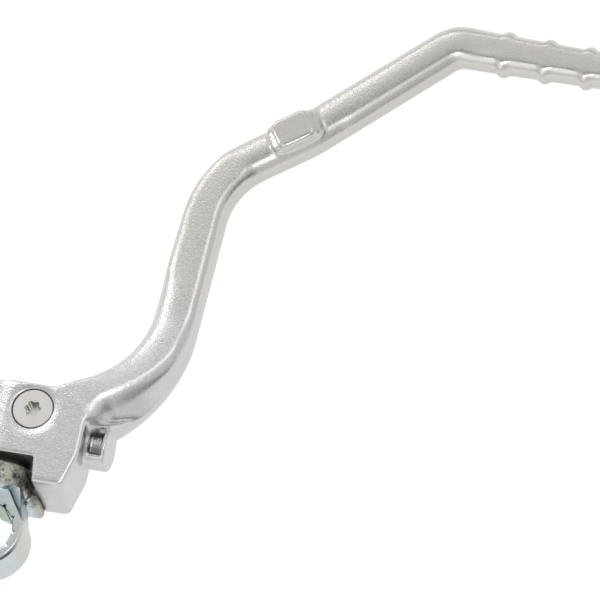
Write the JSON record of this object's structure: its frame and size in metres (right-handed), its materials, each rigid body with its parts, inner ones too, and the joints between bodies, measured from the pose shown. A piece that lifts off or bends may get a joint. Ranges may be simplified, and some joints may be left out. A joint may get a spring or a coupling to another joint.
{
  "type": "kick start lever",
  "caption": "Folding kick start lever: a splined steel knuckle carries a forged arm that swings out about a cross axis and ends in a ribbed foot peg.",
  "frame": {"origin": "Centre of the splined bore, half way along its wall. The arm is stowed, as in the picture.", "axes": "+Z along the splined bore's axis, away from the engine and towards the viewer of the picture. +Y along the pivot axis, from the splined ring up into the arm. +X towards the foot peg."},
  "size_m": [0.2219, 0.2539, 0.031],
  "materials": {
    "zinc_plated_steel": "zinc plated forging, satin, machined ring faces",
    "forged_aluminium": "shot blasted forging, satin",
    "stainless_steel": "turned, satin",
    "black_rubber": "moulded, matt",
    "bearing_steel": "polished",
    "spring_steel": "drawn wire"
  },
  "bodies": {
    "knuckle": {"knuckle": "zinc_plated_steel", "dust_seal": "black_rubber", "journal_oring": "black_rubber", "detent_spring": "spring_steel"},
    "arm": {"kick_arm": "forged_aluminium", "cross_screw": "stainless_steel"},
    "ball": {"detent_ball": "bearing_steel"}
  },
  "joints": [
    {"name": "fold_pivot", "type": "hinge", "parent": "knuckle", "child": "arm", "pos_m": [0, 0, 0], "axis": [0, -1, 0], "range_deg": [0, 90]},
    {"name": "detent_slide", "type": "slide", "parent": "knuckle", "child": "ball", "axis": [-1, 0, 0], "range_m": [0, 0.0004], "stiffness_N_per_m": 200, "springref_m": 0.002}
  ]
}
